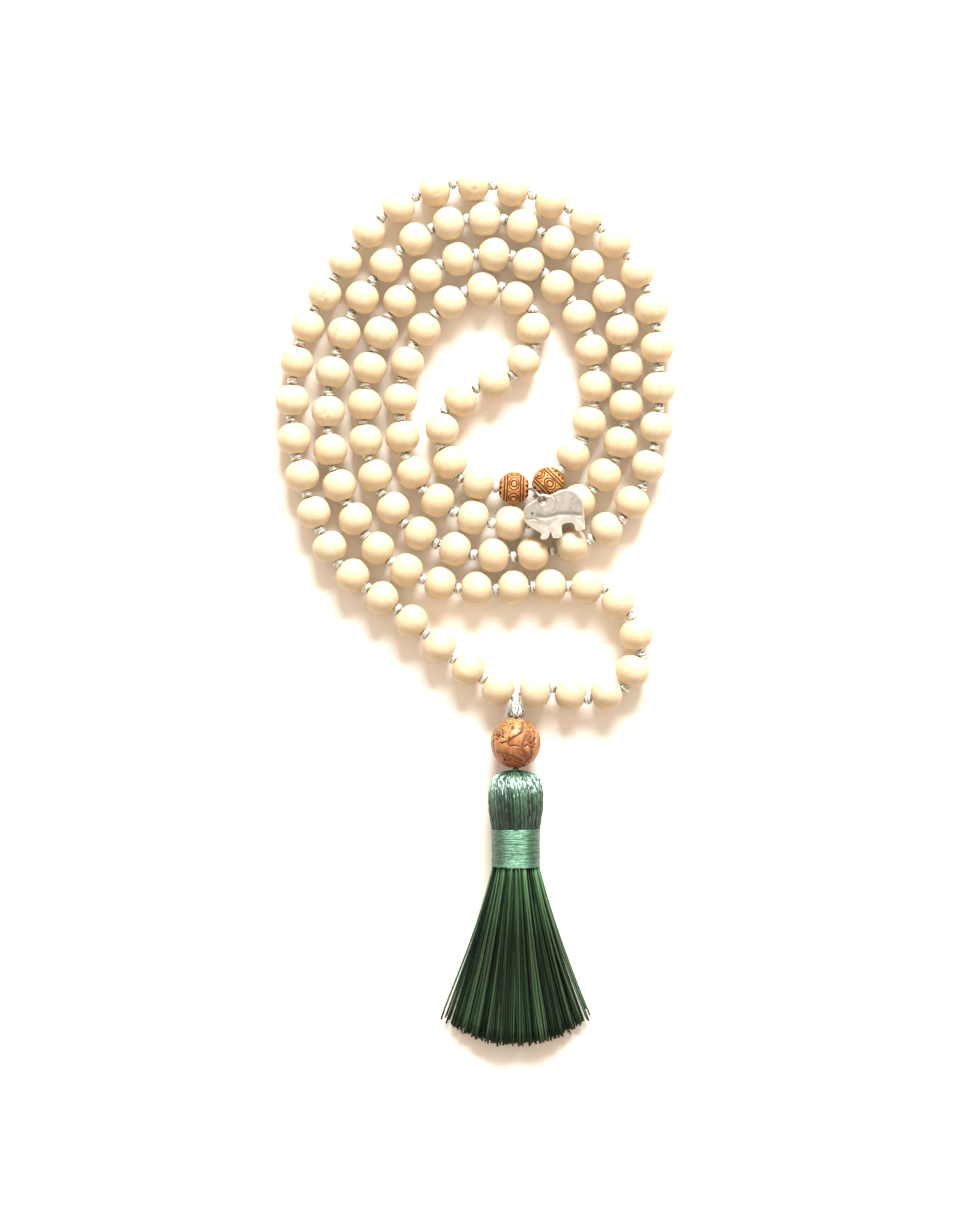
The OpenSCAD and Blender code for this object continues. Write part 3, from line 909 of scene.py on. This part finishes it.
# ---------------- elephant charm
# In the row frame's X and Y, from the middle of its hole
OUTLINE = [
    (-0.4, 1.45), (0.6, 1.4), (1.5, 1.1), (2.5, 1.6), (3.9, 2.25), (5.4, 2.55), (6.6, 2.35),
    (7.8, 1.5), (8.7, 0.2), (9.15, -1.4), (9.2, -4.2), (9.5, -6.2), (9.3, -6.5), (7.6, -6.85),
    (7.3, -6.6), (7.0, -5.4), (6.4, -4.9), (4.7, -5.1), (4.1, -5.7), (4.45, -7.8),
    (4.2, -8.15), (2.5, -8.5), (2.2, -8.2), (1.75, -6.6), (1.35, -8.2), (0.5, -8.8),
    (-0.4, -8.65), (-0.5, -8.2), (-0.1, -7.5), (-0.9, -6.9), (-2.3, -6.2), (-3.4, -5.3),
    (-4.1, -4.2), (-4.35, -3.0), (-4.1, -1.8), (-3.35, -0.85), (-2.2, -0.2), (-1.3, 0.4),
]
# lines engraved in its face: points, width, depth
CHARM_CUTS = [
    ([(2.25, 1.0), (2.75, 0.3), (2.85, -0.8), (2.6, -1.9), (2.2, -2.6)], 0.12, 0.50),
    ([(-0.9, -3.5), (0.4, -3.75), (1.8, -3.5), (3.4, -3.1), (5.4, -3.0), (8.3, -3.2)], 0.50, 0.62),
    ([(-3.8, -4.0), (-2.8, -4.3), (-1.9, -4.2), (-1.3, -4.5)], 0.10, 0.42),
    ([(-1.3, -4.5), (-0.2, -5.2), (0.9, -5.6)], 0.10, 0.22),
    ([(0.5, -3.2), (0.8, -4.4), (1.5, -5.4)], 0.10, 0.20),
]
# the top edge of the polished rim along its belly and legs
ARCH = [
    (-4.4, -3.9), (-3.4, -4.2), (-1.6, -5.0), (0.2, -5.9), (1.5, -5.6), (2.3, -4.6),
    (3.9, -3.9), (5.8, -3.6), (7.6, -3.9), (8.6, -4.4), (9.5, -5.6),
]
EYE = (-2.3, -2.9)
EYE_R, HOLE_R = 0.235, 0.7


def rounded(points):
    """Rounds the corners of a closed outline, by cutting them twice."""
    p = np.array(points, float)
    for _ in range(2):
        on = np.roll(p, -1, 0)
        p = np.stack([0.8 * p + 0.2 * on, 0.2 * p + 0.8 * on], 1).reshape(-1, 2)
    return p


def even(loop, step):
    """The closed loop with points step apart."""
    loop = np.vstack([loop, loop[:1]])
    s = np.concatenate([[0], np.cumsum(np.linalg.norm(np.diff(loop, axis=0), axis=1))])
    n = int(s[-1] / step)
    u = np.arange(n) / n * s[-1]
    return np.stack([np.interp(u, s, loop[:, 0]), np.interp(u, s, loop[:, 1])], -1)


def inside(points, loop):
    x, y = points[:, 0], points[:, 1]
    hit = np.zeros(len(points), bool)
    for (x1, y1), (x2, y2) in zip(loop, np.roll(loop, -1, 0), strict=True):
        cross = (y1 > y) != (y2 > y)
        hit ^= cross & (x < (x2 - x1) * (y - y1) / (y2 - y1 + 1e-15) + x1)
    return hit


def charm_plate(rim, step):
    """Points and triangles over the inside of the rim, around the hole."""
    hole = np.array([(HOLE_R * math.cos(a), HOLE_R * math.sin(a)) for a in np.arange(30) / 30 * TAU])
    gx, gy = np.meshgrid(np.arange(-4.4, 9.8, step), np.arange(-9.2, 2.7, step * 0.9))
    gx[1::2] += step / 2
    grid = np.stack([gx.ravel(), gy.ravel()], -1)
    grid = grid[inside(grid, rim)]
    off_hole = np.linalg.norm(grid, axis=1) > HOLE_R + step * 0.5
    grid = grid[(dist_to(grid, rim, True) > step * 0.55) & off_hole]
    pts = np.vstack([rim, hole, grid])
    edges = [(i, (i + 1) % len(rim)) for i in range(len(rim))]
    edges += [(len(rim) + i, len(rim) + (i + 1) % len(hole)) for i in range(len(hole))]
    out = geometry.delaunay_2d_cdt([Vector(p) for p in pts], edges, [], 0, 1e-7)
    pts = np.array([tuple(v) for v in out[0]])
    tris = np.array([f for f in out[2] if len(f) == 3])
    middle = pts[tris].mean(1)
    tris = tris[inside(middle, rim) & (np.linalg.norm(middle, axis=1) > HOLE_R * 0.98)]
    flip = np.cross(pts[tris[:, 1]] - pts[tris[:, 0]], pts[tris[:, 2]] - pts[tris[:, 0]]) < 0
    tris[flip] = tris[flip][:, ::-1]
    return pts, tris


def elephant_charm():
    """A cast plate with an engraved face, a bevelled rim and a plain back."""
    step = 0.13
    rim = even(rounded(OUTLINE), step)
    pts, tris = charm_plate(rim, step)
    edge = np.minimum(dist_to(pts, rim, True), np.linalg.norm(pts, axis=1) - HOLE_R)
    dent = np.zeros(len(pts))
    for line, wide, deep in CHARM_CUTS:
        path = curve_through([(*q, 0) for q in line], 8)[:, :2]
        dent = np.maximum(dent, deep * np.exp(-((dist_to(pts, path) / wide) ** 2)))
    cut = np.maximum(dent, np.clip(2.1 - np.linalg.norm(pts - EYE, axis=1) / EYE_R, 0, 1))
    # the rim is wide along the belly, the legs and the trunk
    arch = np.interp(pts[:, 0], *np.transpose(ARCH))
    below = smooth((arch + 0.25 - pts[:, 1]) / 0.7)
    rise = smooth(edge / (0.30 + 0.75 * below))
    pale = np.clip(1 - rise + 0.75 * below, 0, 1)
    top = 0.46 + 0.32 * rise + 0.04 * smooth(edge / 2.2) - 0.20 * dent
    top = top + 0.020 * value_noise(np.column_stack([pts, np.zeros(len(pts))]), 1.2, 50, 3)
    low = 0.06 * (1 - smooth(edge / 0.25))
    n = len(pts)
    sides = dict.fromkeys((tri[k], tri[(k + 1) % 3]) for tri in tris.tolist() for k in range(3))
    wall = [[b, a, a + n, b + n] for a, b in sides if (b, a) not in sides]
    flat = np.vstack([np.column_stack([pts, top]), np.column_stack([pts, low])])
    hole_at = RIM[:2] + np.array([math.cos(CHARM_DIR), math.sin(CHARM_DIR)])
    back = np.zeros(n)
    make_mesh(
        "elephant_charm", flat + np.array([*hole_at, RIM[2] - 0.4]),
        tris.tolist() + (tris[:, ::-1] + n).tolist() + wall, SILVER, "elephant_charm",
        {"loc": flat, "cut": np.concatenate([cut, back]), "pale": np.concatenate([pale, back])},
        "elephant_charm",
    )


elephant_charm()

# ---------------- tassel
BIND_LEN, BIND_R = 8.3, 5.2


def round_axis(y, out, ang):
    """Points at y along the pendant, out from the tassel's axis at an angle."""
    return np.stack([PEND_X + out * np.cos(ang), y + 0 * ang, TASSEL_Z + out * np.sin(ang)], -1)


def head_radius(s):
    """The head's radius s mm down from its top."""
    at = [0.0, 0.2, 0.45, 0.8, 1.3, 2.0, 3.3, 4.8, 6.3, 8.0, 9.4, 11.4, 13.2]
    out = [1.35, 2.45, 3.35, 4.15, 4.85, 5.38, 5.84, 6.06, 6.14, 6.10, 5.95, 5.60, 5.32]
    return np.interp(s, at, out)


def dome(s):
    """How much flatter than round the head is at its top, where the strands come over from the tie."""
    u = 1 - np.clip(s / 7.5, 0.02, 1)
    return np.minimum(6.12 * np.sqrt(1 - u * u) / head_radius(s), 1)


def softened(values):
    return np.convolve(np.pad(values, 1, "edge"), [0.25, 0.5, 0.25], "valid")


def tassel_head():
    """Three layers of strands that come out of the middle, over the lip and down the dome to the binding."""
    rng = np.random.default_rng(21)
    lines, ids = [], []
    t = np.linspace(0, 1, 52)
    lip = 0.14  # the part of each strand that is over the lip
    s = softened(np.where(t < lip, 0.95 - 6.8 * t, (t - lip) / (1 - lip) * 13.4))
    out = softened(np.where(t < lip, 0.75 + 4.0 * t, head_radius(s)))
    for layer, (count, inset) in enumerate(((112, 0.20), (96, 0.42), (84, 0.70))):
        for i in range(count):
            ang = (i + rng.uniform(-0.25, 0.25)) / count * TAU
            lean = rng.normal(0, 0.09)
            sway = rng.normal(0, 0.018) * np.sin(t * math.pi * rng.uniform(1, 2.2))
            lumps = rng.normal(0, 0.05) + rng.uniform(-0.30, 0.04)
            lumps = lumps + 0.10 * math.sin(11 * ang + layer) * math.sin(5 * ang)
            ripple = rng.uniform(0.03, 0.085) * np.sin(TAU * (t * rng.uniform(4.5, 8.0) + rng.random()))
            r = out - inset + lumps * np.sin(t * math.pi) + ripple * smooth((t - 0.12) * 6)
            a = ang + lean * (t - 0.5) + sway + 0.36 * np.exp(-np.clip(s, 0, None) / 2.8)
            line = round_axis(HEAD_Y - s, r, a)
            line[:, 2] = TASSEL_Z + (line[:, 2] - TASSEL_Z) * dome(s)
            lines.append(line)
            ids.append(i * 1.37 + layer * 200)
    down = np.array([0.9, 1.2, 1.8, 2.8, 4.2, 6.0, 8.0, 10.0, 12.0, 13.3])
    core = round_axis(HEAD_Y - down, 0, 0 * down)
    core_r = np.maximum(head_radius(down) * dome(down) - 1.0, 0.4)
    parts = [strands(lines, 0.185, 6, ids), strands(core, core_r, 48, [-50])]
    add_strands("tassel_head", parts, HEAD_SILK, "tassel")


def squared(ang):
    """The binding's outline, a round that is a little flat on four sides."""
    return (np.abs(np.cos(ang)) ** 2.5 + np.abs(np.sin(ang)) ** 2.5) ** (-1 / 2.5)


def tassel_binding():
    """One long winding, with a few loose turns laid over it at a slant."""
    rng = np.random.default_rng(22)
    turns, per_turn = BIND_LEN / 0.235, 110
    t = np.arange(int(turns * per_turn)) / (turns * per_turn)
    ang = TAU * turns * t
    wobble = 0.03 * np.interp(t * 40, np.arange(41), rng.uniform(-1, 1, 41))
    y = BIND_Y + 0.02 - t * (BIND_LEN - 0.04) + wobble
    place = np.stack([5.3 * np.cos(ang), 1.3 * y, 5.3 * np.sin(ang)], -1)
    spots = int(turns * 6) + 2
    uneven = 0.02 * np.interp(t * turns * 6, np.arange(spots), rng.uniform(-1, 1, spots))
    out = (BIND_R + 0.05 * np.sin(math.pi * t)) * squared(ang)
    out = out + 0.08 * value_noise(place, 0.75, 41, 2) + uneven
    verts, faces, lay = strands(round_axis(y, out, ang), 0.155, 6)
    lay[:, 2] = np.floor(lay[:, 0] / (TAU * 5.3)) * 0.83
    lay[:, 0] %= 33.3
    parts = [(verts, faces, lay)]
    for k in range(9):
        middle, start = rng.uniform(0.5, 2.6), rng.uniform(-6.8, -1.4)
        t = np.linspace(0, 1, 40)
        ang = middle + 1.6 * (t - 0.5)
        y = BIND_Y + start + rng.uniform(-0.55, 0.55) * (t - 0.5) * 2
        out = (BIND_R + 0.02) * squared(ang) + 0.24 * np.sin(math.pi * t)
        parts.append(strands(round_axis(y, out, ang), 0.10, 5, [90 + k]))
    down = np.array([0.0, 2.0, 4.1, 6.2, BIND_LEN])
    parts.append(strands(round_axis(BIND_Y - down, 0, 0 * down), 5.1, 64))
    verts, faces, lay = joined(parts)
    # painted highlight: glow marks the top middle of the winding, where the silk gets a painted highlight
    painted_highlight = np.where(verts[:, 2] > TASSEL_Z, np.exp(-(((verts[:, 0] - PEND_X) / 2.7) ** 4)), 0)
    attributes = {"lay": lay, "painted_highlight": painted_highlight}
    make_mesh("tassel_binding", verts, faces, BIND_SILK, "tassel", attributes, "tassel_binding")


def tassel_skirt():
    """Loose strands that fan out sideways and sink to the table. a and b are a strand's place in the binding,
    across and up, -1 to 1."""
    rng = np.random.default_rng(23)
    count, golden = 760, 2.399963
    k = np.arange(count) + 0.5
    out = np.sqrt(k / count)
    ang = k * golden + rng.normal(0, 0.05, count)
    a, b = out * np.cos(ang), out * np.sin(ang)
    # fewer strands towards the two edges, so that they part there
    stay = rng.random(count) > np.where(a < 0, 0.74, 0.60) * smooth((np.abs(a) - 0.60) / 0.34)
    a, b = a[stay, None], b[stay, None]
    each = (len(a), 1)
    loose = rng.random(each) < 0.02
    t = np.linspace(0, 1, 15)
    x0, z0 = 5.12 * a, 5.12 * b
    clump = 0.020 * np.sin(a * 47 + 1.3) + 0.012 * np.sin(a * 83 + b * 9)
    fan = np.sign(a) * np.abs(a) ** 0.94 + clump
    wide = 17.0 * fan * (1 + rng.normal(0, 0.012, each))
    sink = 0.30 + 4.2 * ((b + 1) / 2) * (1 - 0.55 * a**2) + rng.normal(0, 0.30, each)
    x = x0 + (wide - x0) * (0.62 * t + 0.38 * t**1.5)
    z = TASSEL_Z + z0 + (sink - TASSEL_Z - z0) * (smooth(t * 1.30) * 0.85 + 0.15 * t)
    reach = 39.3 - 6.2 * np.abs(fan) ** 2.2
    short = (rng.random(each) < 0.14) * rng.uniform(0.01, 0.07, each)
    reach = reach * (1 + rng.normal(0, 0.011, each) - short)
    wave = rng.normal(0, 0.20, each) * np.sin(t * math.pi * rng.uniform(0.8, 2.4, each)) * t
    x = x + wave + np.where(loose, rng.normal(0, 0.6, each), 0) * t**2
    y = SKIRT_Y + 0.5 - t * (reach + 0.5)
    z = np.clip(z + rng.normal(0, 0.12, each) * smooth(t * 4), 0.22, 12.2)
    lines = np.stack([PEND_X + np.clip(x, -16.6, 16.6), y, z], -1)
    radius = 0.205 * rng.uniform(0.7, 1.15, each)
    parts = [strands(lines, radius, 6, np.arange(len(a)) * 1.91)]
    add_strands("tassel_skirt", parts, SKIRT_SILK, "tassel")


tassel_head()
tassel_binding()
tassel_skirt()

# ---------------- floor, light and camera, in metres
scene = bpy.context.scene


def add_object(name, data):
    ob = bpy.data.objects.new(name, data)
    scene.collection.objects.link(ob)
    return ob


floor_mesh = bpy.data.meshes.new("floor")
floor_mesh.from_pydata([(-2, -2, 0), (2, -2, 0), (2, 2, 0), (-2, 2, 0)], [], [(0, 1, 2, 3)])
white = Shader("floor_white").finish(Base_Color=(0.975, 0.912, 0.835), Roughness=0.9, Specular_IOR_Level=0.1)
floor_mesh.materials.append(white)
floor = add_object("floor", floor_mesh)

world = bpy.data.worlds.new("world")
world.use_nodes = True
sky = world.node_tree.nodes["Background"].inputs
sky["Color"].default_value = (1.0, 0.855, 0.72, 1)
sky["Strength"].default_value = 0.83
scene.world = world

key = bpy.data.lights.new("key", "AREA")
key.shape = "RECTANGLE"
key.size, key.size_y = 0.66, 0.44
key.energy = 37.2
key.color = (0.93, 0.97, 1.0)
lamp = add_object("key", key)
lamp.location = (0.13, 0.96, 0.66)
lamp.rotation_euler = (-lamp.location).to_track_quat("-Z", "Y").to_euler()

cam = bpy.data.cameras.new("camera")
cam.sensor_width = 36
cam.lens = cam.sensor_width * 0.9 / 0.2722  # 0.2722 m from top to bottom of the frame, 0.9 m away
cam.clip_start, cam.clip_end = 0.05, 10
camera = add_object("camera", cam)
camera.location = (0.0031, -0.0013, 0.904)
scene.camera = camera
scene.view_settings.view_transform = "Standard"
scene.view_settings.look = "None"
scene.view_settings.exposure = 0.0
